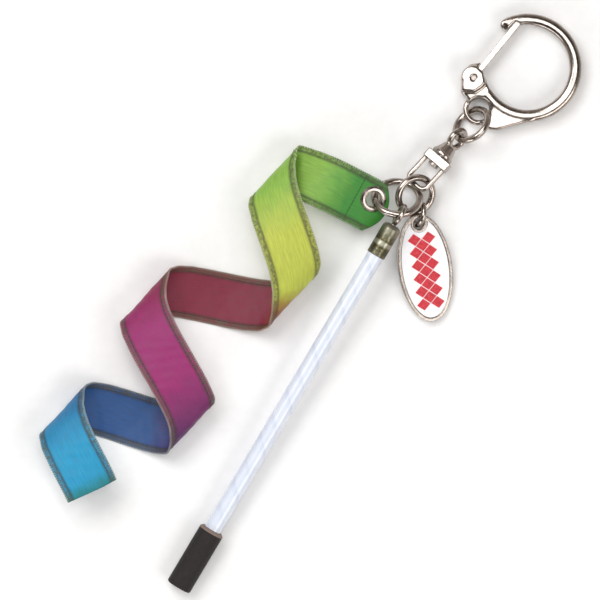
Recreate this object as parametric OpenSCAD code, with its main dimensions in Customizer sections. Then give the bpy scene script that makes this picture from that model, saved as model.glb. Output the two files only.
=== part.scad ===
// Key charm with a small gymnastics ribbon wand: snap hook, swivel, rings, oval tag, wand and
// coiled ribbon. It lies on its back on the floor z = 0, +Y towards the hook, +X to the right.

/* [Hook] */
// Inside radius of the hook's bow
bow_inner_r = 10.5; // [9.5:0.1:12.6]
// Width of the bow's bar in the plane of the hook
bow_w = 3; // [2.4:0.1:3.6]
// Thickness of the bow's bar
bow_t = 3.6; // [3:0.1:4.2]
// Thickness of the base over both cheeks
base_t = 5.6; // [5:0.1:6.4]
// Radius of the eye that holds the first ring
eye_mid_r = 3.3; // [3.2:0.05:3.5]
// Thickness of the bar round the eye
eye_bar_d = 1.5; // [1.3:0.05:1.6]
// Thickness of the gate lever
gate_t = 2; // [1.6:0.1:2.6]
// Width of the gate lever
gate_w = 1.5; // [1.3:0.05:1.6]
// Diameter of the pin that the gate turns on
gate_pin_d = 1.2; // [1:0.05:1.4]

/* [Rings] */
// Wire diameter of the three large rings
wire_d = 1.75; // [1.4:0.05:1.8]
// Mean radius of the ring in the hook's eye and of the main ring
ring_mid_r = 4.6; // [4.5:0.05:4.7]
// Mean radius of the ring that holds the ribbon and the wand
ribbon_ring_mid_r = 5.6; // [5.5:0.05:5.7]
// Wire diameter of the tag's ring
tag_ring_wire_d = 1.4; // [1.2:0.05:1.5]
// Mean radius of the tag's ring
tag_ring_mid_r = 2.75; // [2.7:0.05:2.8]

/* [Swivel] */
// Width of the swivel's loop, outside
loop_w = 7.2; // [6.6:0.1:7.4]
// Thickness of the loop's bar
loop_bar_d = 1.3; // [1.1:0.05:1.4]
// Diameter of the bell's flange
bell_d = 5.75; // [5:0.05:6]
// Diameter of the rivet that the bell turns on
rivet_d = 1.6; // [1.4:0.05:1.8]

/* [Tag] */
// Length of the oval tag
tag_l = 27; // [24:0.5:32.5]
// Width of the oval tag
tag_w = 13.8; // [12:0.2:14.4]
// Thickness of the tag
tag_t = 1.3; // [1.1:0.1:1.4]

/* [Wand] */
// Length of the rod that shows between the grip and the ferrule
rod_shown_l = 79.5; // [60:0.5:96]
// Diameter of the rod
rod_d = 4.3; // [3.6:0.1:4.4]
// Diameter of the grip
grip_d = 6.4; // [5.6:0.1:7.6]
// Length of the grip
grip_l = 16.7; // [13:0.1:20]
// Diameter of the ferrule
ferrule_d = 4.8; // [4.6:0.1:4.9]
// Length of the ferrule
ferrule_l = 8.7; // [7:0.1:10.4]

/* [Ribbon] */
// Width of the ribbon
ribbon_w = 13.5; // [11:0.5:16.5]
// Thickness of the ribbon
ribbon_t = 0.3; // [0.2:0.05:0.4]
// Height of the coil that the ribbon lies in
coil_h = 12.6; // [10.5:0.1:15]
// Diameter of the hole through the eyelet
eyelet_hole_d = 4; // [4:0.1:4.2]
// Diameter of the eyelet's flange
eyelet_flange_d = 6.8; // [6.4:0.1:8]

/* [Hidden] */
$fn = 48;
// running clearance, all round, of the gate on its pin and of the bell's rivet in the loop
run_gap = 0.06;
// glue or press line between parts that are fixed together
fixed_gap = 0.03;
side_gap = 0.15;
small = 0.01;

nickel = [0.78, 0.77, 0.75];
dark_nickel = [0.6, 0.57, 0.54];

function dir(a) = [cos(a), sin(a), 0];

// --- places, as [x, y, z], and headings in degrees ---
// eye of the hook, and the way from the eye to the middle of the bow
eye_at = [42.23, 48.26, 2.82];
bow_heading = 40.6;
eye_to_bow_inside = 5.5;
bow_at = dir(bow_heading) * (bow_inner_r + eye_to_bow_inside);
bow_mid_r = bow_inner_r + bow_w / 2;
bow_outer_r = bow_inner_r + bow_w;
// pivot of the gate, seen from the eye
gate_at = [-1.35, 7.8, 0];
// the gate's round end lies inside the nose, this far from the middle of the bow
gate_end_r = bow_inner_r + 0.8;
gate_heading = 51;
gate_along = bow_at - gate_at;
gate_mid = gate_along * dir(gate_heading);
gate_off = norm(gate_along) ^ 2 - gate_mid ^ 2;
gate_l = gate_mid + sqrt(gate_end_r ^ 2 - gate_off);

// chain of rings: middle, heading of the axis each leans about, and lean
hook_ring_at = [40.41, 44.4, 4.37];
hook_ring_turn = [-49.6, 0, 45.5];
swivel_at = [31.89, 35.57, 4.56];
swivel_heading = 47;
swivel_pitch = -4.7;
loop_roll = -22.4;
main_ring_at = [26.41, 26.87, 4.61];
main_ring_turn = [29.5, 0, 49.6];
ribbon_ring_at = [21.83, 26.18, 5.63];
ribbon_ring_turn = [-41.9, 0, -2.4];
eyelet_at = [15.86, 25.91, 6.6];
eyelet_lean = 20.7;
coil_heading = 227;
wand_eye_at = [22.38, 21.96, 8.86];
wand_heading = 59.3;
wand_eye_roll = 10.7;
tag_ring_at = [27.14, 22.2, 3.66];
tag_ring_heading = -89.1;
tag_ring_pitch = 22.7;
tag_ring_roll = 59.6;
tag_hole_at = [27.13, 19.88, 4.44];
tag_heading = -81.5;
tag_pitch = -6.7;
tag_roll = -13.1;

module ring(mid_r, wire, slit_at) {
    // a closed wire ring with a fine slit where its ends meet
    slit = 2.5;
    rotate([0, 0, slit_at + slit / 2])
        rotate_extrude(angle = 360 - slit)
            translate([mid_r, 0])
                circle(d = wire, $fn = 24);
}

module bar(from, to, d) {
    // round bar between two points
    run = to - from;
    translate(from)
        rotate([0, acos(run[2] / norm(run)), atan2(run[1], run[0])])
            cylinder(d = d, h = norm(run), $fn = 24);
}

// ---------- hook ----------
module in_hook() {
    translate(eye_at) children();
}

nose_angle = 117;
bow_start = -148;
// the base stands back a little from the bow's inside, so the bow's bar runs clean into it
web_back = 0.25;
cheek_back = 0.6;

module bow_section() {
    // flat-sided bar with rounded corners
    intersection() {
        square([bow_w, bow_t], center = true);
        circle(d = 1.25 * min(bow_w, bow_t), $fn = 40);
    }
}

module web_outline() {
    side = eye_mid_r + eye_bar_d / 2;
    polygon([
        [-side * 0.72, side * 0.68],
        [-4.55, 4.3],
        [-4.3, 6.4],
        [-3.6, 9.2],
        [-2.4, 11.2],
        [0.6, 11.7],
        [1.5, 10.4],
        [bow_at[0] - bow_mid_r, bow_at[1] - 1],
        [bow_at[0] + bow_outer_r * cos(-83), bow_at[1] + bow_outer_r * sin(-83)],
        [bow_at[0] + bow_outer_r * cos(-94), bow_at[1] + bow_outer_r * sin(-94) - 0.35],
        [4.6, -5.2],
        [2.1, -5],
        [0.9, -side * 0.9]
    ]);
}

module cheek_outline() {
    translate(gate_at) circle(r = 3.1);
    polygon([[-4.4, 4.5], [-4.35, 6.4], [-4, 9], [-2.4, 10.7], [0.3, 10.7], [1.6, 8.4], [1.2, 6], [-1, 4.3]]);
}

slot_r = 2.7;
gate_open = 35;

module gate_slot() {
    // room between the cheeks for the lever, from shut to fully open
    reach = 8;
    half = gate_w / 2 + side_gap;
    linear_extrude(gate_t + 2 * side_gap, center = true)
        translate(gate_at) {
            circle(r = slot_r);
            for (turn = [gate_heading, gate_heading - gate_open])
                rotate(turn) translate([0, -half]) square([reach, 2 * half]);
            polygon([
                [0, 0],
                reach * [cos(gate_heading), sin(gate_heading)],
                reach * [cos(gate_heading - gate_open), sin(gate_heading - gate_open)]
            ]);
        }
}

spring_d = 1;
spring_l = 2.6;
spring_heading = 210;
heel_heading = -60;
heel_r = 1.9;
gate_hub_r = 1.4;
spring_foot = 0.5;

module spring_place() {
    translate(gate_at + dir(heel_heading) * heel_r + dir(spring_heading) * (spring_foot + side_gap))
        rotate([0, 90, spring_heading])
            children();
}

module hook_body() {
    color(nickel)
    in_hook() {
        difference() {
            union() {
                translate(bow_at)
                    rotate([0, 0, bow_start])
                        rotate_extrude(angle = nose_angle - bow_start)
                            translate([bow_mid_r, 0])
                                bow_section();
                translate(bow_at + dir(nose_angle) * bow_mid_r)
                    cylinder(d = bow_w * 0.92, h = bow_t * 0.8, center = true);
                linear_extrude(bow_t * 0.92, center = true)
                    difference() {
                        web_outline();
                        translate(bow_at) circle(r = bow_inner_r + web_back, $fn = 96);
                    }
                linear_extrude(base_t, center = true)
                    difference() {
                        cheek_outline();
                        translate(bow_at) circle(r = bow_inner_r + cheek_back, $fn = 96);
                    }
            }
            // the eye
            cylinder(r = eye_mid_r - eye_bar_d / 4, h = 2 * base_t, center = true);
            gate_slot();
            // pocket inside the nose for the gate's round end
            linear_extrude(gate_t + 4 * side_gap, center = true)
                translate(bow_at)
                    difference() {
                        intersection() {
                            circle(r = bow_inner_r + 1.9, $fn = 96);
                            rotate(81) square([bow_outer_r, bow_outer_r]);
                        }
                        rotate(111) square([bow_outer_r, bow_outer_r]);
                    }
            // room beside the shut gate, under the nose's lip
            translate(gate_at)
                rotate([0, 0, gate_heading])
                    translate([slot_r, -gate_w / 2 - side_gap, -bow_t])
                        cube([gate_l - slot_r, gate_w + 2 * side_gap, 2 * bow_t]);
            translate(gate_at)
                cylinder(d = gate_pin_d - 2 * small, h = 2 * base_t, center = true);
            spring_place()
                cylinder(d = spring_d + 4 * run_gap, h = spring_l + run_gap);
        }
        rotate_extrude() translate([eye_mid_r, 0]) circle(d = eye_bar_d, $fn = 24);
    }
}

module hook_gate() {
    color(nickel)
    in_hook()
        translate(gate_at)
            difference() {
                union() {
                    linear_extrude(gate_t, center = true) {
                        circle(r = gate_hub_r);
                        rotate(gate_heading) {
                            translate([0, -gate_w / 2]) square([gate_l, gate_w]);
                            translate([gate_l, 0]) circle(d = gate_w);
                        }
                    }
                    rotate([0, 0, heel_heading])
                        translate([0, -spring_foot, -gate_t / 2])
                            cube([slot_r - 0.35, 2 * spring_foot, gate_t]);
                }
                cylinder(d = gate_pin_d + 2 * run_gap, h = 2 * gate_t, center = true);
            }
}

module gate_pin() {
    color(dark_nickel)
    in_hook()
        translate(gate_at)
            cylinder(d = gate_pin_d, h = base_t - 0.2, center = true);
}

module gate_spring() {
    // closed coils that push the gate's heel
    coil_wire = 0.24;
    coils = 6;
    color(dark_nickel)
    in_hook()
        spring_place() {
            for (i = [0 : coils - 1])
                translate([0, 0, coil_wire / 2 + i * (spring_l - coil_wire) / (coils - 1)])
                    rotate_extrude($fn = 24)
                        translate([(spring_d - coil_wire) / 2, 0])
                            circle(d = coil_wire, $fn = 14);
            // the run of wire that joins one coil to the next
            translate([(spring_d - coil_wire) / 2, 0, coil_wire / 2])
                cylinder(d = coil_wire * 0.8, h = spring_l - coil_wire, $fn = 14);
        }
}

// ---------- rings ----------
module hook_ring() {
    color(nickel) translate(hook_ring_at) rotate(hook_ring_turn) ring(ring_mid_r, wire_d, 250);
}

module main_ring() {
    color(nickel) translate(main_ring_at) rotate(main_ring_turn) ring(ring_mid_r, wire_d, 300);
}

module ribbon_ring() {
    color(nickel) translate(ribbon_ring_at) rotate(ribbon_ring_turn) ring(ribbon_ring_mid_r, wire_d, 120);
}

module tag_ring() {
    color(nickel)
    translate(tag_ring_at)
        rotate([tag_ring_roll, -tag_ring_pitch, tag_ring_heading])
            ring(tag_ring_mid_r, tag_ring_wire_d, 75);
}

// ---------- swivel: local +X runs towards the hook ----------
module in_swivel(roll) {
    translate(swivel_at) rotate([roll, -swivel_pitch, swivel_heading]) children();
}

crossbar_half = 1.2;
bell_from = crossbar_half + side_gap;
bell_to = 5;
swivel_eye_x = 7.15;
swivel_eye_mid_r = 2.5;
swivel_eye_bar_d = 1.6;
bell_neck_d = 3.6;
bell_roll = 56.3;

module swivel_bell() {
    color(nickel)
    in_swivel(bell_roll)
        difference() {
            union() {
                rotate([0, 90, 0])
                    rotate_extrude()
                        polygon([
                            [0, bell_from],
                            [bell_d / 2, bell_from],
                            [bell_d / 2, bell_from + 0.7],
                            [bell_d / 2 - 0.35, bell_from + 1.1],
                            [bell_d / 2 - 0.8, bell_from + 2.4],
                            [bell_neck_d / 2, bell_to - 0.35],
                            [0, bell_to - 0.35]
                        ]);
                translate([swivel_eye_x, 0, 0])
                    rotate_extrude()
                        translate([swivel_eye_mid_r, 0])
                            circle(d = swivel_eye_bar_d, $fn = 24);
            }
            translate([bell_from - small, 0, 0])
                rotate([0, 90, 0])
                    cylinder(d = rivet_d + 2 * fixed_gap, h = 2.6);
        }
}

rivet_head_t = 0.6;

module swivel_rivet() {
    color(dark_nickel)
    in_swivel(0)
        rotate([0, 90, 0]) {
            translate([0, 0, -crossbar_half - 2 * run_gap - rivet_head_t])
                cylinder(d = rivet_d + 1.2, h = rivet_head_t);
            translate([0, 0, -crossbar_half - 2 * run_gap - small])
                cylinder(d = rivet_d, h = 2 * crossbar_half + 2 * run_gap + 2.5);
        }
}

loop_end_x = 8.25;
loop_corner_r = 1.5;

module swivel_loop() {
    arm_y = (loop_w - loop_bar_d) / 2;
    color(nickel)
    in_swivel(loop_roll) {
        difference() {
            translate([-crossbar_half, -loop_w / 2, -1.1])
                cube([2 * crossbar_half, loop_w, 2.2]);
            rotate([0, 90, 0])
                cylinder(d = rivet_d + 2 * run_gap, h = 4 * crossbar_half, center = true);
        }
        for (side = [-1, 1]) {
            bar([0, side * arm_y, 0], [loop_corner_r - loop_end_x, side * arm_y, 0], loop_bar_d);
            translate([loop_corner_r - loop_end_x, side * (arm_y - loop_corner_r), 0])
                rotate([0, 0, side > 0 ? 90 : 180])
                    rotate_extrude(angle = 90)
                        translate([loop_corner_r, 0])
                            circle(d = loop_bar_d, $fn = 24);
        }
        bar([-loop_end_x, loop_corner_r - arm_y, 0], [-loop_end_x, arm_y - loop_corner_r, 0], loop_bar_d);
    }
}

// ---------- tag: local +X runs from its hole to its far end ----------
module in_tag() {
    translate(tag_hole_at) rotate([tag_roll, -tag_pitch, tag_heading]) children();
}

tag_hole_r = 1.45;
tag_hole_in = 2.25;
tag_rim = 0.9;
enamel_t = 0.5;
enamel_sunk = 0.4;

module oval(l, w) {
    steps = 72;
    polygon([for (i = [0 : steps - 1]) [l / 2 * cos(i * 360 / steps), w / 2 * sin(i * 360 / steps)]]);
}

module tag_plate() {
    color(nickel)
    in_tag()
        difference() {
            translate([tag_l / 2 - tag_hole_in, 0, -tag_t / 2])
                linear_extrude(tag_t) oval(tag_l, tag_w);
            translate([tag_l / 2 - tag_hole_in, 0, tag_t / 2 - enamel_sunk])
                linear_extrude(tag_t)
                    difference() {
                        oval(tag_l - 2 * tag_rim, tag_w - 2 * tag_rim);
                        translate([tag_hole_in - tag_l / 2, 0]) circle(r = tag_hole_r + 0.75);
                    }
            cylinder(r = tag_hole_r, h = 3 * tag_t, center = true);
        }
}

module tag_enamel() {
    // glossy white filling of the tag's face
    slim = tag_rim + fixed_gap;
    color([0.97, 0.97, 0.98])
    in_tag()
        translate([tag_l / 2 - tag_hole_in, 0, tag_t / 2 - enamel_sunk + fixed_gap])
            linear_extrude(enamel_t)
                difference() {
                    oval(tag_l - 2 * slim, tag_w - 2 * slim);
                    translate([tag_hole_in - tag_l / 2, 0]) circle(r = tag_hole_r + 0.75 + fixed_gap);
                }
}

motif_l = 18;
motif_w = 5.6;
motif_t = 0.12;

module tag_motif() {
    // a plain lattice of small diamonds down the middle of the tag
    rows = 11;
    columns = 3;
    step = [motif_l / rows, motif_w / columns];
    share = 0.92;
    color([0.8, 0.12, 0.2])
    in_tag()
        translate([tag_l / 2 - tag_hole_in + 0.8, 0, tag_t / 2 - enamel_sunk + fixed_gap + enamel_t])
            linear_extrude(motif_t)
                for (i = [0 : rows - 1])
                    for (j = [0 : columns - 1])
                        if ((i + j) % 2 == 0)
                            translate([(i - (rows - 1) / 2) * step[0], (j - (columns - 1) / 2) * step[1]])
                                polygon([
                                    [-step[0] * share, 0],
                                    [0, -step[1] * share],
                                    [step[0] * share, 0],
                                    [0, step[1] * share]
                                ]);
}

// ---------- wand: local +X runs from the grip to the eye ----------
wand_eye_mid_r = 2.4;
wand_eye_bar_d = 1.2;
ferrule_top = wand_eye_mid_r + wand_eye_bar_d / 2 + fixed_gap;
rod_top = ferrule_top + 2.2;
rod_bottom = ferrule_top + ferrule_l + rod_shown_l + grip_l - 1.2;
wand_end = ferrule_top + ferrule_l + rod_shown_l + grip_l;
// the grip's end rests on the floor
wand_pitch = asin((wand_eye_at[2] - grip_d / 2) / wand_end);

module in_wand() {
    translate(wand_eye_at) rotate([0, -wand_pitch, wand_heading]) children();
}

module wand_rod() {
    color([0.9, 0.93, 0.97])
    in_wand()
        translate([-rod_bottom, 0, 0])
            rotate([0, 90, 0])
                cylinder(d = rod_d, h = rod_bottom - rod_top);
}

module wand_grip() {
    // a sleeve with a closed end and a lighter, bevelled rim
    bevel = 0.5;
    color([0.13, 0.1, 0.09])
    in_wand()
        translate([-wand_end, 0, 0])
            rotate([0, 90, 0])
                difference() {
                    rotate_extrude()
                        polygon([
                            [0, 0],
                            [grip_d / 2 - 0.25, 0],
                            [grip_d / 2, 0.25],
                            [grip_d / 2, grip_l - bevel],
                            [grip_d / 2 - bevel, grip_l],
                            [0, grip_l]
                        ]);
                    translate([0, 0, 1.2 - fixed_gap])
                        cylinder(d = rod_d + 2 * fixed_gap, h = grip_l);
                }
}

module wand_ferrule() {
    color([0.36, 0.34, 0.24])
    in_wand()
        translate([-ferrule_top - ferrule_l, 0, 0])
            rotate([0, 90, 0])
                difference() {
                    rotate_extrude()
                        polygon([
                            [0, 0],
                            [ferrule_d / 2 - 0.15, 0],
                            [ferrule_d / 2, 0.15],
                            [ferrule_d / 2, ferrule_l - 1],
                            [ferrule_d / 2 - 0.3, ferrule_l - 0.4],
                            [ferrule_d / 2 - 1, ferrule_l],
                            [0, ferrule_l]
                        ]);
                    translate([0, 0, -small])
                        cylinder(d = rod_d + 2 * fixed_gap, h = ferrule_l - 2.2 + 2 * fixed_gap);
                    cylinder(d = wand_eye_bar_d + 2 * fixed_gap, h = 2 * ferrule_l);
                }
}

module wand_eye() {
    // a wire eye whose straight shank is fixed in the ferrule
    color(nickel)
    in_wand()
        rotate([90 + wand_eye_roll, 0, 0]) {
            rotate_extrude() translate([wand_eye_mid_r, 0]) circle(d = wand_eye_bar_d, $fn = 24);
            translate([-wand_eye_mid_r, 0, 0])
                rotate([0, -90, 0])
                    cylinder(d = wand_eye_bar_d, h = 2.4, $fn = 24);
        }
}

// ---------- ribbon: a strip wound round a lying, flattened coil ----------
// each half turn ends at a fold; where the folds lie along the coil's axis and across it
fold_along = [-34, -30.2, -15.2, 5, 29.2, 45.3, 63.6, 77.5, 95];
fold_across = [20, 22, -12.3, 12.6, -14.8, 15.8, -10.4, 13, -13];
coil_at = [-10.02, 13.06, 0];
coil_along = dir(coil_heading);
coil_across = dir(coil_heading + 90);
to_eyelet = eyelet_at - coil_at;
eyelet_across = to_eyelet * coil_across;
ribbon_lift = ribbon_t / 2;

function smooth(t) = let(c = max(0, min(1, t))) c * c * (3 - 2 * c);
function blend(a, b, c, d, t) =
    b + t / 2 * (c - a + t * (2 * a - 5 * b + 4 * c - d + t * (3 * (b - c) + d - a)));

// half turns are counted from the fold nearest the eyelet, which is fold 2 in the lists
function coil_s(h) = let(i = floor(h) + 2, t = h - floor(h))
    blend(fold_along[i - 1], fold_along[i], fold_along[i + 1], fold_along[i + 2], t);
function coil_n(h) = let(i = floor(h) + 2, t = h - floor(h))
    (fold_across[i] + fold_across[i + 1]) / 2 + (fold_across[i] - fold_across[i + 1]) / 2 * cos(180 * t);
function round_z(h) = ribbon_lift + coil_h / 2 * (1 + sin(180 * h));
// the first half turn leaves the eyelet flat and leaning, then joins the coil
function leaving_z(h) = eyelet_at[2] + (eyelet_across - coil_n(h)) * tan(eyelet_lean);
function coil_z(h) = let(mix = smooth((h + 0.5) / 0.46))
    h >= 0 ? round_z(h) : leaving_z(h) * (1 - mix) + round_z(h) * mix;

h_first = -0.86;
h_last = 4.95;
last_turn = 4.72;
h_step = 0.02;
h_count = round((h_last - h_first) / h_step);
walk = [for (k = [0 : h_count]) let(h = h_first + k * h_step) [coil_s(h), coil_n(h), coil_z(h)]];
// distance walked across the coil's surface, and along the strip itself
round_run = [for (k = 0, run = 0; k <= h_count;
    run = run + (k < h_count ? norm([walk[k + 1][1] - walk[k][1], walk[k + 1][2] - walk[k][2]]) : 0),
    k = k + 1) run];
strip_run = [for (k = 0, run = 0; k <= h_count;
    run = run + (k < h_count ? norm(walk[k + 1] - walk[k]) : 0),
    k = k + 1) run];
n_at = [for (k = [0 : h_count]) [round_run[k], walk[k][1]]];
z_at = [for (k = [0 : h_count]) [round_run[k], walk[k][2]]];
s_on_strip = [for (k = [0 : h_count]) [strip_run[k], walk[k][0]]];
round_on_strip = [for (k = [0 : h_count]) [strip_run[k], round_run[k]]];
strip_at_n = [for (k = [0 : 40]) [-walk[k][1], strip_run[k]]];
strip_of_eyelet = lookup(-eyelet_across, strip_at_n);
strip_end = lookup(last_turn, [for (k = [0 : h_count]) [h_first + k * h_step, strip_run[k]]]);
end_past_eyelet = 5.2;
end_bulge = 0.08;
strip_start = strip_of_eyelet - end_past_eyelet;

function on_round(u) = [lookup(u, n_at), lookup(u, z_at)];
// a point of the strip: along it, to one side, and above or below it
function strip_point(run, side, above) =
    let(
        e = 0.3,
        ds = lookup(run + e, s_on_strip) - lookup(run - e, s_on_strip),
        du = lookup(run + e, round_on_strip) - lookup(run - e, round_on_strip),
        long = norm([ds, du]),
        u = lookup(run, round_on_strip) - side * ds / long,
        s = lookup(run, s_on_strip) + side * du / long,
        p = on_round(u),
        d = on_round(u + e) - on_round(u - e),
        q = [d[1], -d[0]] / norm(d) * above
    )
    coil_at + coil_along * s + coil_across * (p[0] + q[0]) + [0, 0, p[1] + q[1]];

module strip(from, to, side_from, side_to, low, high, steps, columns, bulge = 0) {
    row = columns + 1;
    layer = row * (steps + 1);
    function at(i, j, above) =
        let(
            side = side_from + (side_to - side_from) * j / columns,
            start = from + bulge * side * side
        )
        strip_point(start + (to - start) * i / steps, side, above);
    function id(i, j, k) = k * layer + i * row + j;
    points = [for (above = [low, high]) for (i = [0 : steps]) for (j = [0 : columns]) at(i, j, above)];
    faces = concat(
        [for (i = [0 : steps - 1]) for (j = [0 : columns - 1]) for (f = [
            [id(i, j, 0), id(i + 1, j, 0), id(i + 1, j + 1, 0)],
            [id(i, j, 0), id(i + 1, j + 1, 0), id(i, j + 1, 0)],
            [id(i, j, 1), id(i + 1, j + 1, 1), id(i + 1, j, 1)],
            [id(i, j, 1), id(i, j + 1, 1), id(i + 1, j + 1, 1)]]) f],
        [for (i = [0 : steps - 1]) for (f = [
            [id(i, 0, 0), id(i, 0, 1), id(i + 1, 0, 1)],
            [id(i, 0, 0), id(i + 1, 0, 1), id(i + 1, 0, 0)],
            [id(i, columns, 0), id(i + 1, columns, 1), id(i, columns, 1)],
            [id(i, columns, 0), id(i + 1, columns, 0), id(i + 1, columns, 1)]]) f],
        [for (j = [0 : columns - 1]) for (f = [
            [id(0, j, 0), id(0, j + 1, 1), id(0, j, 1)],
            [id(0, j, 0), id(0, j + 1, 0), id(0, j + 1, 1)],
            [id(steps, j, 0), id(steps, j, 1), id(steps, j + 1, 1)],
            [id(steps, j, 0), id(steps, j + 1, 1), id(steps, j + 1, 0)]]) f]
    );
    polyhedron(points, faces, convexity = 12);
}

module in_eyelet() {
    translate(eyelet_at) rotate([eyelet_lean, 0, coil_heading - 180]) children();
}

barrel_t = 0.3;
flange_t = 0.35;
tab_l = 10.2;
tail_hem_l = 2.6;
half_w = ribbon_w / 2;

module eyelet_cut() {
    in_eyelet()
        cylinder(d = eyelet_hole_d + 2 * barrel_t + 4 * fixed_gap, h = 4, center = true);
}

module ribbon() {
    color([0.55, 0.7, 0.2])
    difference() {
        strip(strip_start, strip_end, -half_w, half_w, -ribbon_t / 2, ribbon_t / 2, 150, 6, end_bulge);
        eyelet_cut();
    }
}

module ribbon_end_tab() {
    // the end folded under and sewn down, where the eyelet goes through two layers
    color([0.2, 0.5, 0.15])
    difference() {
        strip(strip_start + 0.3, strip_start + tab_l, 0.4 - half_w, half_w - 0.4,
            -1.5 * ribbon_t - fixed_gap, -ribbon_t / 2 - fixed_gap, 8, 6, end_bulge);
        eyelet_cut();
    }
}

module ribbon_tail_hem() {
    // the far end folded back and sewn down
    color([0.1, 0.5, 0.45])
    strip(strip_end - tail_hem_l, strip_end - 0.1, 0.4 - half_w, half_w - 0.4,
        ribbon_t / 2 + fixed_gap, ribbon_t + fixed_gap, 3, 6);
}

module eyelet() {
    // barrel through the ribbon with a rounded flange on top
    top = ribbon_t / 2 + fixed_gap;
    bottom = -1.5 * ribbon_t - 3 * fixed_gap - flange_t;
    hole_r = eyelet_hole_d / 2;
    color(nickel)
    in_eyelet()
        rotate_extrude()
            polygon([
                [hole_r, bottom],
                [hole_r + barrel_t, bottom],
                [hole_r + barrel_t, top],
                [eyelet_flange_d / 2, top],
                [eyelet_flange_d / 2 - 0.2, top + flange_t * 0.7],
                [hole_r + 0.75, top + flange_t],
                [hole_r + 0.25, top + flange_t * 0.8],
                [hole_r, top + flange_t * 0.3]
            ]);
}

module eyelet_washer() {
    // ring pressed on the barrel under the ribbon
    top = -1.5 * ribbon_t - 2 * fixed_gap;
    color(dark_nickel)
    in_eyelet()
        translate([0, 0, top - flange_t])
            difference() {
                cylinder(d = eyelet_flange_d - 0.2, h = flange_t);
                translate([0, 0, -flange_t])
                    cylinder(d = eyelet_hole_d + 2 * barrel_t + 2 * fixed_gap, h = 3 * flange_t);
            }
}

hook_body();
hook_gate();
gate_pin();
gate_spring();
hook_ring();
swivel_bell();
swivel_rivet();
swivel_loop();
main_ring();
ribbon_ring();
tag_ring();
tag_plate();
tag_enamel();
tag_motif();
wand_rod();
wand_grip();
wand_ferrule();
wand_eye();
ribbon();
ribbon_end_tab();
ribbon_tail_hem();
eyelet();
eyelet_washer();
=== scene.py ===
"""Looks for the key charm: nickel hook and rings, oval tag, small ribbon wand and coiled satin ribbon."""

import math

import bpy
import numpy as np
from mathutils import Matrix, Vector


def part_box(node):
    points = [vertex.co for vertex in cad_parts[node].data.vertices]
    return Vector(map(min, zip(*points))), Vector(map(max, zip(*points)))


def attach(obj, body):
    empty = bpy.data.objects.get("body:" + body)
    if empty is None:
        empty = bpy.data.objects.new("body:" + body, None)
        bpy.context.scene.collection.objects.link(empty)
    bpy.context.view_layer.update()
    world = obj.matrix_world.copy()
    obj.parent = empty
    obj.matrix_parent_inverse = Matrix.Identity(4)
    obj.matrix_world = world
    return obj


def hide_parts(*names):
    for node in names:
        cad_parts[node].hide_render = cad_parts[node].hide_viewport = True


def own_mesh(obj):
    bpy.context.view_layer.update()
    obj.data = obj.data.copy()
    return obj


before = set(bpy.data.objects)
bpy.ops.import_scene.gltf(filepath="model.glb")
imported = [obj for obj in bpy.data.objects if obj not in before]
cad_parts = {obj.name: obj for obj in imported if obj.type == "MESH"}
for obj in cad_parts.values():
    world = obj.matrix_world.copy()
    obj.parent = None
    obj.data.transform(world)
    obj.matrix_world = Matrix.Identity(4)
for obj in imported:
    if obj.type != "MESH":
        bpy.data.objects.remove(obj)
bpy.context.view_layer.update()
MM = 0.001


# ---------- camera, floor and light ----------
PICTURE_WIDTH = 150 * MM
CAMERA_HEIGHT = 1.2
# the middle of the picture, from the middle of the charm's box
CAMERA_SHIFT = Vector((-2.35 * MM, 0.77 * MM, 0))


def add_camera():
    camera = bpy.data.objects.new("camera", bpy.data.cameras.new("camera"))
    bpy.context.scene.collection.objects.link(camera)
    camera.data.sensor_width = 36
    camera.data.lens = 36 * CAMERA_HEIGHT / PICTURE_WIDTH
    camera.location = CAMERA_SHIFT + Vector((0, 0, CAMERA_HEIGHT))
    camera.data.clip_start = 0.01
    bpy.context.scene.camera = camera


def dir2(degrees):
    return Vector((math.cos(math.radians(degrees)), math.sin(math.radians(degrees)), 0))


def softbox(name, azimuth, height, distance, width, depth, watts, tint=(1, 1, 1)):
    light = bpy.data.lights.new(name, "AREA")
    light.shape = "RECTANGLE"
    light.size = width
    light.size_y = depth
    light.energy = watts
    light.color = tint
    lamp = bpy.data.objects.new(name, light)
    lamp.location = dir2(azimuth) * distance + Vector((0, 0, height))
    lamp.rotation_euler = (-lamp.location).to_track_quat("-Z", "Y").to_euler()
    bpy.context.scene.collection.objects.link(lamp)


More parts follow.
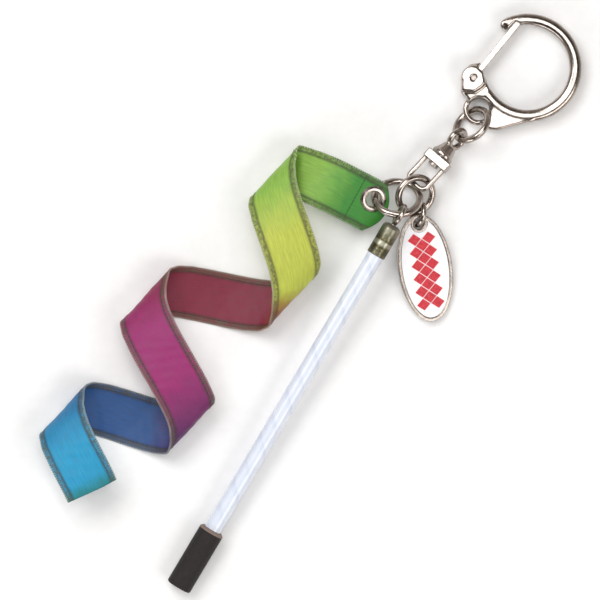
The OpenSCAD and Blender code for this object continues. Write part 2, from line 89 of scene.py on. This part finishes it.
# ---------- material helpers ----------
class Nodes:
    """A material's node tree with short calls for the nodes used here."""

    def __init__(self, name):
        self.material = bpy.data.materials.new(name)
        self.material.use_nodes = True
        self.tree = self.material.node_tree
        self.shader = self.tree.nodes["Principled BSDF"]

    def link(self, source, target):
        self.tree.links.new(source, target)

    def feed(self, value, socket):
        if isinstance(value, bpy.types.NodeSocket):
            self.link(value, socket)
        else:
            socket.default_value = value

    def set(self, **sockets):
        for name, value in sockets.items():
            self.feed(value, self.shader.inputs[name.replace("_", " ")])

    def place(self):
        """Position in the piece's own space, in millimetres."""
        coord = self.tree.nodes.new("ShaderNodeTexCoord")
        scale = self.tree.nodes.new("ShaderNodeVectorMath")
        scale.operation = "SCALE"
        scale.inputs["Scale"].default_value = 1 / MM
        self.link(coord.outputs["Object"], scale.inputs[0])
        return scale.outputs[0]

    def uv(self, name):
        node = self.tree.nodes.new("ShaderNodeUVMap")
        node.uv_map = name
        return node.outputs[0]

    def noise(self, where, scale, detail=3.0, roughness=0.55):
        node = self.tree.nodes.new("ShaderNodeTexNoise")
        node.inputs["Scale"].default_value = scale
        node.inputs["Detail"].default_value = detail
        node.inputs["Roughness"].default_value = roughness
        self.link(where, node.inputs["Vector"])
        return node.outputs["Fac"]

    def stretch(self, where, factors):
        node = self.tree.nodes.new("ShaderNodeVectorMath")
        node.operation = "MULTIPLY"
        node.inputs[1].default_value = factors
        self.link(where, node.inputs[0])
        return node.outputs[0]

    def math(self, operation, a, b=0.0):
        node = self.tree.nodes.new("ShaderNodeMath")
        node.operation = operation
        self.feed(a, node.inputs[0])
        self.feed(b, node.inputs[1])
        return node.outputs[0]

    def split(self, vector):
        node = self.tree.nodes.new("ShaderNodeSeparateXYZ")
        self.link(vector, node.inputs[0])
        return node.outputs

    def along(self, where, axis, origin):
        """Distance in millimetres along an axis from a point."""
        node = self.tree.nodes.new("ShaderNodeVectorMath")
        node.operation = "DOT_PRODUCT"
        node.inputs[1].default_value = axis
        self.link(where, node.inputs[0])
        return self.math("SUBTRACT", node.outputs["Value"], float(Vector(axis).dot(origin)) / MM)

    def ramp(self, value, stops):
        node = self.tree.nodes.new("ShaderNodeValToRGB")
        colours = node.color_ramp.elements
        while len(colours) < len(stops):
            colours.new(0.5)
        for element, (position, colour) in zip(colours, stops):
            element.position = position
            element.color = (*colour, 1)
        self.link(value, node.inputs[0])
        return node.outputs[0]

    def mix(self, factor, a, b, blend="MIX"):
        node = self.tree.nodes.new("ShaderNodeMix")
        node.data_type = "RGBA"
        node.blend_type = blend
        self.feed(factor, node.inputs["Factor"])
        self.feed(a, node.inputs[6])
        self.feed(b, node.inputs[7])
        return node.outputs[2]

    def bump(self, height, distance, strength=1.0, before=None):
        node = self.tree.nodes.new("ShaderNodeBump")
        node.inputs["Distance"].default_value = distance
        node.inputs["Strength"].default_value = strength
        self.link(height, node.inputs["Height"])
        if before is not None:
            self.link(before, node.inputs["Normal"])
        return node.outputs[0]


def linear(red, green, blue):
    """Screen colour from 0 to 255, as linear light."""
    return tuple((c / 255 / 12.92) if c < 11 else ((c / 255 + 0.055) / 1.055) ** 2.4
                 for c in (red, green, blue))


def grey(value):
    return (value, value, value)


# ---------- materials ----------
def nickel(name, shade=(186, 176, 168), rough=(0.1, 0.28), grime=0.5):
    """Bright plating with fine polishing lines, small pits and warm tarnish in cloudy patches."""
    m = Nodes(name)
    where = m.place()
    cloudy = m.noise(where, 0.35, 4)
    fine = m.noise(where, 2.6, 5)
    lines = m.noise(m.stretch(where, (1.2, 9, 5)), 1.6, 3)
    warm = m.ramp(cloudy, [(0.3, linear(*(c * grime + 44 for c in shade))), (0.62, linear(*shade))])
    m.set(Base_Color=m.mix(0.35, warm, m.ramp(fine, [(0.35, linear(138, 122, 112)), (0.6, linear(*shade))])))
    m.set(Metallic=1.0)
    m.set(Roughness=m.ramp(lines, [(0.3, grey(rough[0])), (0.75, grey(rough[1]))]))
    waves = m.bump(cloudy, 0.05 * MM, 0.35)
    m.set(Normal=m.bump(lines, 0.01 * MM, 0.5, waves))
    return m.material


def enamel():
    """Glossy white filling with a very faint ripple."""
    m = Nodes("tag_enamel")
    where = m.place()
    cloud = m.noise(where, 0.25, 3)
    m.set(Base_Color=m.ramp(cloud, [(0.3, linear(236, 236, 240)), (0.7, linear(250, 249, 250))]))
    m.set(Roughness=m.ramp(m.noise(where, 1.4, 4), [(0.3, grey(0.06)), (0.8, grey(0.16))]))
    m.set(Coat_Weight=0.6, Coat_Roughness=0.04, Normal=m.bump(cloud, 0.08 * MM, 0.3))
    return m.material


def print_red():
    """Screen print: slightly uneven ink."""
    m = Nodes("tag_print")
    where = m.place()
    patchy = m.noise(where, 2.2, 5, 0.65)
    m.set(Base_Color=m.ramp(patchy, [(0.3, linear(150, 18, 34)), (0.5, linear(205, 30, 48)),
                                     (0.75, linear(226, 74, 84))]))
    m.set(Roughness=m.ramp(patchy, [(0.3, grey(0.25)), (0.7, grey(0.5))]))
    m.set(Normal=m.bump(m.noise(where, 7, 3), 0.02 * MM, 0.5))
    return m.material


def wand_axis():
    """The wand's line: its far end, its direction towards the eye, and two directions across it."""
    eye_low, eye_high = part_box("wand_eye")
    grip_low, grip_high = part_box("wand_grip")
    eye = (Vector(eye_low) + Vector(eye_high)) / 2
    grip = (Vector(grip_low) + Vector(grip_high)) / 2
    way = (eye - grip).normalized()
    across = way.cross(Vector((0, 0, 1))).normalized()
    return grip, way, across, across.cross(way)


def rod_paint():
    """Glossy white tube with a faint bluish tape wound round it in a spiral."""
    origin, way, across, up = wand_axis()
    m = Nodes("rod_white")
    where = m.place()
    run = m.along(where, way, origin)
    turn = m.math("ARCTAN2", m.along(where, across, origin), m.along(where, up, origin))
    pitch = 13.0
    spiral = m.math("FRACT", m.math("ADD", m.math("DIVIDE", run, pitch), m.math("DIVIDE", turn, math.tau)))
    white = linear(223, 230, 243)
    blue = linear(206, 214, 232)
    tape = m.ramp(spiral, [(0.0, blue), (0.06, white), (0.42, white), (0.5, blue),
                           (0.56, linear(196, 206, 228)), (0.6, white), (0.9, linear(220, 227, 242)),
                           (1.0, blue)])
    cloud = m.noise(where, 0.5, 4)
    m.set(Base_Color=m.mix(0.5, tape, m.ramp(cloud, [(0.35, linear(214, 222, 238)), (0.65, white)])))
    m.set(Roughness=m.ramp(m.noise(where, 1.8, 4), [(0.3, grey(0.14)), (0.8, grey(0.32))]))
    edge = m.ramp(spiral, [(0.0, grey(0)), (0.05, grey(1)), (0.5, grey(1)), (0.55, grey(0))])
    m.set(Coat_Weight=0.5, Coat_Roughness=0.08, Normal=m.bump(edge, 0.05 * MM, 0.5))
    return m.material


def grip_rubber():
    """Matt brown-black rubber with a scuffed, lighter rim."""
    origin, way = wand_axis()[:2]
    m = Nodes("grip_rubber")
    where = m.place()
    run = m.along(where, way, origin)
    grain = m.noise(where, 6, 5, 0.7)
    scuff = m.noise(m.stretch(where, (1, 1, 2)), 1.1, 5, 0.7)
    body = m.ramp(scuff, [(0.35, linear(14, 9, 8)), (0.6, linear(28, 19, 17)), (0.8, linear(50, 40, 36))])
    half = 7.6
    rim = m.math("GREATER_THAN", run, half)
    m.set(Base_Color=m.mix(rim, body, (*linear(128, 112, 104), 1)))
    m.set(Roughness=m.ramp(grain, [(0.3, grey(0.6)), (0.7, grey(0.85))]))
    m.set(Normal=m.bump(grain, 0.06 * MM, 0.7))
    return m.material


def antique_brass():
    """Dark olive plating, worn pale in one band and along the edges."""
    m = Nodes("ferrule_antique")
    low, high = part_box("wand_ferrule")
    way = wand_axis()[1]
    where = m.place()
    middle = (Vector(low) + Vector(high)) / 2
    run = m.along(where, way, middle)
    worn = m.noise(where, 1.5, 5, 0.65)
    dark = m.ramp(worn, [(0.3, linear(40, 36, 22)), (0.55, linear(86, 82, 56)), (0.8, linear(150, 146, 120))])
    span = 8.0
    band = m.ramp(m.math("ADD", m.math("DIVIDE", run, span), 0.5),
                  [(0.0, grey(0.1)), (0.3, grey(0)), (0.38, grey(0.5)), (0.46, grey(0.5)),
                   (0.52, grey(0)), (0.9, grey(0.3))])
    m.set(Base_Color=m.mix(band, dark, (*linear(206, 204, 186), 1)), Metallic=0.85)
    m.set(Roughness=m.ramp(worn, [(0.3, grey(0.45)), (0.7, grey(0.25))]))
    m.set(Normal=m.bump(worn, 0.05 * MM, 0.6))
    return m.material


# the dyes, and where each is pure along the ribbon, from the eyelet (0) to the loose end (1)
GREEN = (60, 150, 50)
LIME = (150, 200, 75)
YELLOW = (205, 215, 80)
RUST = (160, 90, 50)
CRIMSON = (140, 25, 60)
MAGENTA = (165, 25, 115)
VIOLET = (100, 30, 100)
BLUE = (30, 85, 150)
SKY = (25, 135, 190)
CYAN = (15, 165, 215)
TEAL = (15, 140, 150)
PALE_EDGE = (232, 236, 214)
DARK_THREAD = (48, 52, 34)
OLIVE_BORDER = (84, 82, 56)
DYE = [
    (0.0, GREEN), (0.05, GREEN), (0.1, LIME), (0.18, LIME), (0.24, YELLOW), (0.31, YELLOW),
    (0.34, RUST), (0.37, CRIMSON), (0.5, CRIMSON), (0.57, MAGENTA), (0.64, MAGENTA),
    (0.71, VIOLET), (0.77, BLUE), (0.85, BLUE), (0.9, SKY), (0.94, CYAN), (0.98, CYAN), (1.0, TEAL),
]


# the weave's two steps and the lay of an edge thread, in millimetres
WEFT_STEP = 0.22
WARP_STEP = 0.34
TWIST_LENGTH = 0.2


def satin(name, lighten=0.0, darken=0.0, threads=True):
    """Dyed satin: the colour runs along the strip, with a fine weave and a soft sheen."""
    m = Nodes(name)
    strip = m.split(m.uv("strip"))
    cloth = m.uv("cloth")
    drift = m.noise(cloth, 0.22, 4)
    shifted = m.math("ADD", strip[0], m.math("MULTIPLY", m.math("SUBTRACT", drift, 0.5), 0.035))
    dye = m.ramp(shifted, [(place, linear(*colour)) for place, colour in DYE])
    if lighten:
        dye = m.mix(lighten, dye, (*linear(*PALE_EDGE), 1))
    if darken:
        dye = m.mix(darken, dye, (*linear(*DARK_THREAD), 1))
    streak = m.noise(m.stretch(cloth, (0.25, 3.2, 1)), 1.0, 4, 0.6)
    dye = m.mix(0.5, dye, m.mix(1.0, dye, m.ramp(streak, [(0.3, grey(0.62)), (0.7, grey(1.35))]), "MULTIPLY"))
    off_middle = m.math("ABSOLUTE", m.math("SUBTRACT", strip[1], 0.5))
    # painted shade: a dark furrow line inside each edge and a darker outermost edge, with a slightly lighter
    # painted band on the folded edge between them
    painted_fold_light_and_shade = m.ramp(off_middle, [(0.34, grey(1.0)), (0.378, grey(0.55)), (0.4, grey(0.6)), (0.43, grey(1.06)),
                               (0.475, grey(1.0)), (0.5, grey(0.62))])
    dye = m.mix(0.85 if threads else 0.0, dye, m.mix(1.0, dye, painted_fold_light_and_shade, "MULTIPLY"))
    if threads:
        # a mottled border inside each edge
        mottle = m.ramp(m.noise(cloth, 1.3, 4, 0.6), [(0.38, grey(0.25)), (0.6, grey(0.85))])
        band = m.ramp(off_middle, [(0.365, grey(0)), (0.39, grey(1)), (0.5, grey(1))])
        dye = m.mix(m.mix(1.0, band, mottle, "MULTIPLY"), dye, (*linear(*OLIVE_BORDER), 1))
    dye = m.mix(0.85, dye, m.mix(1.0, dye, (*grey(0.7), 1), "MULTIPLY"))
    m.set(Base_Color=dye, Sheen_Weight=0.05, Sheen_Roughness=0.35)
    m.set(Roughness=m.ramp(streak, [(0.3, grey(0.45)), (0.7, grey(0.62))]))
    if threads:
        coords = m.split(cloth)
        weft = m.math("SINE", m.math("MULTIPLY", coords[0], math.tau / WEFT_STEP))
        warp = m.math("SINE", m.math("MULTIPLY", coords[1], math.tau / WARP_STEP))
        weave = m.math("ADD", weft, m.math("MULTIPLY", warp, 0.5))
        soft = m.bump(drift, 0.25 * MM, 0.35)
        m.set(Normal=m.bump(weave, 0.012 * MM, 0.6, soft))
    else:
        coords = m.split(cloth)
        slant = m.math("ADD", coords[0], coords[1])
        twist = m.math("SINE", m.math("MULTIPLY", slant, math.tau / TWIST_LENGTH))
        m.set(Normal=m.bump(twist, 0.02 * MM, 0.7))
    return m.material


def use(node, material):
    """Gives a CAD node its finish."""
    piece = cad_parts[node]
    if not piece.data.materials:
        piece.data.materials.append(material)
    for holder in piece.material_slots:
        holder.material = material


# ---------- shaping helpers ----------
def new_piece(name, vertices, faces, material):
    mesh = bpy.data.meshes.new(name)
    mesh.from_pydata([tuple(v) for v in vertices], [], [tuple(f) for f in faces])
    mesh.update()
    mesh.polygons.foreach_set("use_smooth", [True] * len(mesh.polygons))
    mesh.materials.append(material)
    piece = bpy.data.objects.new(name, mesh)
    bpy.context.scene.collection.objects.link(piece)
    return piece


def cast(node, body, material, voxel, passes):
    """A copy of a CAD node with the soft edges of a plated casting, which stands for it."""
    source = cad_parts[node]
    piece = bpy.data.objects.new(node + "_cast", source.data.copy())
    bpy.context.scene.collection.objects.link(piece)
    remesh = piece.modifiers.new("remesh", "REMESH")
    remesh.mode = "VOXEL"
    remesh.voxel_size = voxel
    smooth = piece.modifiers.new("smooth", "SMOOTH")
    smooth.factor = 0.5
    smooth.iterations = passes
    bpy.context.view_layer.update()
    shaped = bpy.data.meshes.new_from_object(piece.evaluated_get(bpy.context.evaluated_depsgraph_get()))
    piece.modifiers.clear()
    piece.data = shaped
    shaped.materials.clear()
    shaped.materials.append(material)
    shaped.polygons.foreach_set("use_smooth", [True] * len(shaped.polygons))
    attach(piece, body)
    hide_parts(node)
    return piece


def tube(path, radius, sides):
    """A round thread or wire along a path of points, each [x, y, z] in metres."""
    path = np.asarray(path, float)
    ahead = np.roll(path, -1, 0) - np.roll(path, 1, 0)
    ahead[0] = path[1] - path[0]
    ahead[-1] = path[-1] - path[-2]
    ahead /= np.linalg.norm(ahead, axis=1)[:, None]
    side = np.cross(ahead, np.array([0.31, 0.17, 0.93]))
    side /= np.linalg.norm(side, axis=1)[:, None]
    up = np.cross(side, ahead)
    turns = np.arange(sides) * math.tau / sides
    rings = (path[:, None] + radius * (np.cos(turns)[None, :, None] * side[:, None]
             + np.sin(turns)[None, :, None] * up[:, None]))
    count = len(path)
    faces = []
    for i in range(count - 1):
        after = i + 1
        for k in range(sides):
            faces.append((i * sides + k, i * sides + (k + 1) % sides,
                          after * sides + (k + 1) % sides, after * sides + k))
    faces.append(tuple(range(sides))[::-1])
    faces.append(tuple((count - 1) * sides + k for k in range(sides)))
    return rings.reshape(-1, 3), faces


# ---------- the ribbon ----------
RIBBON_WIDTH = 13.5
RIBBON_THICK = 0.3
HALF_WIDTH = RIBBON_WIDTH / 2
COIL_HEIGHT = 12.6
COIL_AT = np.array([-10.02, 13.06, 0])
COIL_HEADING = 227
COIL_ALONG = np.array(dir2(COIL_HEADING))
COIL_ACROSS = np.array(dir2(COIL_HEADING + 90))
EYELET_AT = np.array([15.86, 25.91, 6.6])
EYELET_LEAN = 20.7
EYELET_ACROSS = float((EYELET_AT - COIL_AT) @ COIL_ACROSS)
# each half turn ends at a fold; where the folds lie along the coil's axis and across it
FOLD_ALONG = [-34, -30.2, -15.2, 5, 29.2, 45.3, 63.6, 77.5, 95]
FOLD_ACROSS = [20, 22, -12.3, 12.6, -14.8, 15.8, -10.4, 13, -13]
FIRST_TURN = -0.86
LAST_TURN = 4.95
TURN_STEP = 0.01
END_TURN = 4.72
END_PAST_EYELET = 5.2
END_BULGE = 0.08
TAB_LENGTH = 10.2
HEM_LENGTH = 2.6
LAYER_GAP = 0.03


def coil_point(turn):
    """A point of the strip's middle line: along the coil, across it, and its height."""
    fold = math.floor(turn) + 2
    t = turn - math.floor(turn)
    a, b, c, d = FOLD_ALONG[fold - 1:fold + 3]
    along = b + t / 2 * (c - a + t * (2 * a - 5 * b + 4 * c - d + t * (3 * (b - c) + d - a)))
    left, right = FOLD_ACROSS[fold:fold + 2]
    across = (left + right) / 2 + (left - right) / 2 * math.cos(math.pi * t)
    height = RIBBON_THICK / 2 + COIL_HEIGHT / 2 * (1 + math.sin(math.pi * turn))
    if turn < 0:
        share = max(0, min(1, (turn + 0.5) / 0.46))
        share = share * share * (3 - 2 * share)
        leaving = EYELET_AT[2] + (EYELET_ACROSS - across) * math.tan(math.radians(EYELET_LEAN))
        height = leaving * (1 - share) + height * share
    return along, across, height


TURNS = np.arange(FIRST_TURN, LAST_TURN + TURN_STEP / 2, TURN_STEP)
WALK = np.array([coil_point(turn) for turn in TURNS])
STEPS = np.diff(WALK, axis=0)
ROUND_RUN = np.concatenate([[0], np.cumsum(np.linalg.norm(STEPS[:, 1:], axis=1))])
STRIP_RUN = np.concatenate([[0], np.cumsum(np.linalg.norm(STEPS, axis=1))])
NEAR_EYELET = slice(0, 80)
RUN_AT_EYELET = float(np.interp(-EYELET_ACROSS, -WALK[NEAR_EYELET, 1], STRIP_RUN[NEAR_EYELET]))
STRIP_START = RUN_AT_EYELET - END_PAST_EYELET
STRIP_END = float(np.interp(END_TURN, TURNS, STRIP_RUN))
STRIP_LENGTH = STRIP_END - STRIP_START


def ripple(run, side):
    """Small waves of the cloth, in millimetres: broad ones everywhere, a ruffle towards both edges."""
    broad = 0.07 * np.sin(run * 0.43 + side * 0.31) + 0.05 * np.sin(run * 0.97 - side * 0.55 + 1.3)
    pull = 0.035 * np.sin(run * 2.1 + 0.8 * np.sin(run * 0.37) + side * 0.9)
    edge = (np.abs(side) / HALF_WIDTH) ** 4
    ruffle = 0.11 * edge * np.sin(run * 1.55 + 1.1 * np.sin(run * 0.29) + np.where(side > 0, 0.0, 2.0))
    calm = np.clip((run - RUN_AT_EYELET - 3.5) / 6, 0, 1)
    return (broad + pull + ruffle) * calm


def on_round(u):
    across = np.interp(u, ROUND_RUN, WALK[:, 1])
    return across, np.interp(u, ROUND_RUN, WALK[:, 2])


def strip_points(run, side, above, lowest=0.0):
    """Points of the strip in metres: along it, to one side, and above or below its middle."""
    e = 0.3
    ds = np.interp(run + e, STRIP_RUN, WALK[:, 0]) - np.interp(run - e, STRIP_RUN, WALK[:, 0])
    du = np.interp(run + e, STRIP_RUN, ROUND_RUN) - np.interp(run - e, STRIP_RUN, ROUND_RUN)
    step = np.hypot(ds, du)
    u = np.interp(run, STRIP_RUN, ROUND_RUN) - side * ds / step
    s = np.interp(run, STRIP_RUN, WALK[:, 0]) + side * du / step
    across, height = on_round(u)
    ahead_across, ahead_height = on_round(u + e)
    back_across, back_height = on_round(u - e)
    da = ahead_across - back_across
    dh = ahead_height - back_height
    flat = np.hypot(da, dh)
    lift = above + ripple(run, side)
    across = across + dh / flat * lift
    height = height - da / flat * lift
    height = np.maximum(height, np.maximum(lowest, RIBBON_THICK / 2 + above))
    points = COIL_AT + s[:, None] * COIL_ALONG + across[:, None] * COIL_ACROSS
    points[:, 2] += height
    return points * MM


EYELET_TURN = Matrix.Rotation(math.radians(COIL_HEADING - 180), 3, "Z") @ Matrix.Rotation(
    math.radians(EYELET_LEAN), 3, "X")
EYELET_AXIS = np.array(EYELET_TURN @ Vector((0, 0, 1)))


def cloth(name, start, end, half, low, high, material, cells_long, cells_wide, hole=2.55, bulge=END_BULGE):
    """A closed strip of cloth between two heights, left open round the eyelet."""
    i, j = np.meshgrid(np.arange(cells_long + 1), np.arange(cells_wide + 1), indexing="ij")
    side = (-half + 2 * half * j / cells_wide).ravel()
    begin = start + bulge * side ** 2
    run = begin + (end - begin) * i.ravel() / cells_long
    layers = [strip_points(run, side, np.full(len(run), above)) for above in (low, high)]
    middle = (layers[0] + layers[1]) / 2 / MM
    away = middle - EYELET_AT
    off_axis = np.linalg.norm(away - (away @ EYELET_AXIS)[:, None] * EYELET_AXIS, axis=1)
    near = (off_axis < hole) & (np.abs(away @ EYELET_AXIS) < 3)
    near = near.reshape(cells_long + 1, cells_wide + 1)
    keep = ~(near[:-1, :-1] | near[1:, :-1] | near[:-1, 1:] | near[1:, 1:])
    row = cells_wide + 1
    layer = len(run)

    def corner(a, b, k):
        return k * layer + a * row + b

    faces = []
    for a in range(cells_long):
        for b in range(cells_wide):
            if not keep[a, b]:
                continue
            faces.append((corner(a, b, 0), corner(a + 1, b, 0), corner(a + 1, b + 1, 0), corner(a, b + 1, 0)))
            faces.append((corner(a, b, 1), corner(a, b + 1, 1), corner(a + 1, b + 1, 1), corner(a + 1, b, 1)))
            walls = [((a, b), (a, b + 1), a == 0 or not keep[a - 1, b]),
                     ((a + 1, b + 1), (a + 1, b), a == cells_long - 1 or not keep[a + 1, b]),
                     ((a + 1, b), (a, b), b == 0 or not keep[a, b - 1]),
                     ((a, b + 1), (a + 1, b + 1), b == cells_wide - 1 or not keep[a, b + 1])]
            for p, q, open_here in walls:
                if open_here:
                    faces.append((corner(*p, 0), corner(*q, 0), corner(*q, 1), corner(*p, 1)))
    points = np.concatenate(layers)
    used = np.unique(np.array([v for face in faces for v in face]))
    renumber = np.zeros(len(points), int)
    renumber[used] = np.arange(len(used))
    piece = new_piece(name, points[used], [[renumber[v] for v in face] for face in faces], material)
    both_runs = np.tile(run, 2)[used]
    both_sides = np.tile(side, 2)[used]
    map_cloth(piece, both_runs, both_sides)
    return piece


def map_cloth(piece, runs, sides):
    """Two maps: "strip" runs from 0 to 1 along the ribbon, "cloth" is in millimetres."""
    mesh = piece.data
    vertex = np.zeros(len(mesh.loops), int)
    mesh.loops.foreach_get("vertex_index", vertex)
    strip = np.stack([(runs - STRIP_START) / STRIP_LENGTH, sides / RIBBON_WIDTH + 0.5], 1)
    millimetres = np.stack([runs, sides], 1)
    mesh.uv_layers.new(name="strip").data.foreach_set("uv", strip[vertex].astype(np.float32).ravel())
    mesh.uv_layers.new(name="cloth").data.foreach_set("uv", millimetres[vertex].astype(np.float32).ravel())


def thread_set(name, lines, radius, material, sides=5):
    """Threads joined into one piece. Each line is (run, side, above), three lists of one length."""
    points, faces, runs, across = [], [], [], []
    count = 0
    for run, side, above in lines:
        path = strip_points(run, side, above, radius)
        rings, quads = tube(path, radius * MM, sides)
        points.append(rings)
        faces.extend([tuple(v + count for v in quad) for quad in quads])
        runs.append(np.repeat(run, sides))
        across.append(np.repeat(side, sides))
        count += len(rings)
    piece = new_piece(name, np.concatenate(points), faces, material)
    map_cloth(piece, np.concatenate(runs), np.concatenate(across))
    return piece


def add_ribbon():
    body_satin = satin("satin_body")
    edge_satin = satin("satin_edge", lighten=0.5, threads=False)
    stitch_thread = satin("stitch_thread", darken=0.62, threads=False)
    main = cloth("ribbon_cloth", STRIP_START, STRIP_END, HALF_WIDTH - 0.12, -RIBBON_THICK / 2,
                 RIBBON_THICK / 2, body_satin, 560, 30)
    under = -RIBBON_THICK / 2 - LAYER_GAP
    tab = cloth("ribbon_turned_end", STRIP_START + 0.3, STRIP_START + TAB_LENGTH, HALF_WIDTH - 0.4,
                under - RIBBON_THICK, under, body_satin, 30, 26)
    over = RIBBON_THICK / 2 + LAYER_GAP
    hem = cloth("ribbon_turned_hem", STRIP_END - HEM_LENGTH, STRIP_END - 0.1, HALF_WIDTH - 0.4,
                over, over + RIBBON_THICK, body_satin, 10, 26, bulge=0)

    # picot edge: a pale thread that loops over each edge
    loops = []
    picot = 0.62
    for way in (-1, 1):
        run = np.arange(STRIP_START + END_BULGE * HALF_WIDTH ** 2 + 0.3, STRIP_END - 0.2, picot / 8)
        phase = run * math.tau / picot
        side = way * (HALF_WIDTH - 0.22 + 0.2 * np.cos(phase))
        above = 0.16 * np.sin(phase)
        loops.append((run, side, above))
    edges = thread_set("ribbon_picot_edges", loops, 0.13, edge_satin)

    # a row of stitches inside each edge, showing on both faces
    rows = []
    stitch = 1.25
    inset = 1.45
    starts = np.arange(STRIP_START + 4, STRIP_END - 1.4, stitch)
    for way in (-1, 1):
        for begin in starts:
            run = np.linspace(begin, begin + stitch * 0.8, 6)
            bow = np.sin(np.linspace(0, math.pi, 6))
            side = np.full(6, way * (HALF_WIDTH - inset)) + way * 0.05 * bow
            for face in (-1, 1):
                rows.append((run, side, face * (RIBBON_THICK / 2 - 0.06 + 0.09 * bow)))
    # cross rows that hold the turned end and the hem
    for at in (STRIP_START + TAB_LENGTH - 1.0, STRIP_END - HEM_LENGTH + 0.5):
        for begin in np.arange(-HALF_WIDTH + 0.8, HALF_WIDTH - 1.3, 0.95):
            side = np.linspace(begin, begin + 0.72, 6)
            bow = np.sin(np.linspace(0, math.pi, 6))
            top = RIBBON_THICK / 2 + (RIBBON_THICK + LAYER_GAP if at > STRIP_LENGTH / 2 else 0)
            run = np.full(6, at)
            rows.append((run, side, top - 0.05 + 0.1 * bow))
    stitches = thread_set("ribbon_stitches", rows, 0.11, stitch_thread, sides=5)

    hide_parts("ribbon")
    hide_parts("ribbon_end_tab")
    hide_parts("ribbon_tail_hem")
    for piece in (main, tab, hem, edges, stitches):
        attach(piece, "ribbon")


# ---------- the gate's spring ----------
def add_spring(material):
    low, high = (Vector(corner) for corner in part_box("gate_spring"))
    middle = (low + high) / 2
    spring_heading = 210
    way = dir2(spring_heading)
    side = Vector((0, 0, 1))
    across = way.cross(side)
    length, radius, wire, coils = 2.6, 0.38, 0.11, 7
    turns = np.linspace(0, coils * math.tau, coils * 20)
    rise = np.linspace(wire - length / 2, length / 2 - wire, len(turns))
    path = [middle + (way * a + side * radius * math.sin(t) + across * radius * math.cos(t)) * MM
            for a, t in zip(rise, turns)]
    rings, faces = tube(path, wire * MM, 8)
    spring = new_piece("gate_spring_wire", rings, faces, material)
    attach(spring, "hook")
    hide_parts("gate_spring")
    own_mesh(spring)


# ---------- build ----------
add_camera()
bright = nickel("nickel_bright")
dark = nickel("nickel_dull", shade=(160, 152, 146), rough=(0.2, 0.42), grime=0.5)

floor_mesh = bpy.data.meshes.new("floor")
reach = 3.0
floor_corners = [(-reach, -reach, 0), (reach, -reach, 0), (reach, reach, 0), (-reach, reach, 0)]
floor_mesh.from_pydata(floor_corners, [], [(0, 1, 2, 3)])
floor = bpy.data.objects.new("floor", floor_mesh)
floor_gap = 0.02 * MM
floor.location.z = -floor_gap
bpy.context.scene.collection.objects.link(floor)
paper = Nodes("paper")
fibres = paper.noise(paper.place(), 0.4, 4)
paper.set(Base_Color=paper.ramp(fibres, [(0.3, grey(0.9)), (0.7, grey(0.93))]), Roughness=0.8)
floor_mesh.materials.append(paper.material)

softbox("key", 130, 0.62, 0.42, 0.5, 0.4, 3.4)
softbox("fill", -40, 0.55, 0.5, 0.5, 0.35, 1.9, (1, 0.985, 0.96))
softbox("top", 60, 0.85, 0.12, 0.34, 0.34, 1.6)
softbox("rim", -120, 0.3, 0.6, 0.5, 0.2, 1.2, (0.96, 0.98, 1))

world = bpy.data.worlds.new("studio")
bpy.context.scene.world = world
world.use_nodes = True
sky = world.node_tree
background = sky.nodes["Background"]
coord = sky.nodes.new("ShaderNodeTexCoord")
split = sky.nodes.new("ShaderNodeSeparateXYZ")
shade = sky.nodes.new("ShaderNodeValToRGB")
sky.links.new(coord.outputs["Generated"], split.inputs[0])
sky.links.new(split.outputs["Z"], shade.inputs[0])
stops = [(0.0, 0.6), (0.5, 0.5), (0.66, 0.3), (0.8, 0.05), (0.93, 0.04), (1.0, 0.12)]
while len(shade.color_ramp.elements) < len(stops):
    shade.color_ramp.elements.new(0.5)
for element, (position, value) in zip(shade.color_ramp.elements, stops):
    element.position = position
    element.color = (value, value * 0.9, value * 0.82, 1)
sky.links.new(shade.outputs[0], background.inputs[0])
background.inputs[1].default_value = 0.75
bpy.context.scene.view_settings.view_transform = "Standard"
bpy.context.scene.view_settings.exposure = 0.0

for ring in ("hook_ring", "main_ring", "ribbon_ring", "tag_ring", "wand_eye", "eyelet"):
    use(ring, bright)
for small in ("gate_pin", "swivel_rivet", "eyelet_washer"):
    use(small, dark)
cast("hook_body", "hook", bright, 0.15 * MM, 55)
cast("hook_gate", "gate", bright, 0.1 * MM, 16)
cast("swivel_bell", "bell", bright, 0.09 * MM, 8)
cast("swivel_loop", "loop", bright, 0.09 * MM, 28)
cast("tag_plate", "tag", bright, 0.1 * MM, 4)
cast("tag_enamel", "tag", enamel(), 0.1 * MM, 4)
use("tag_motif", print_red())
use("wand_rod", rod_paint())
use("wand_grip", grip_rubber())
use("wand_ferrule", antique_brass())
add_spring(dark)
add_ribbon()
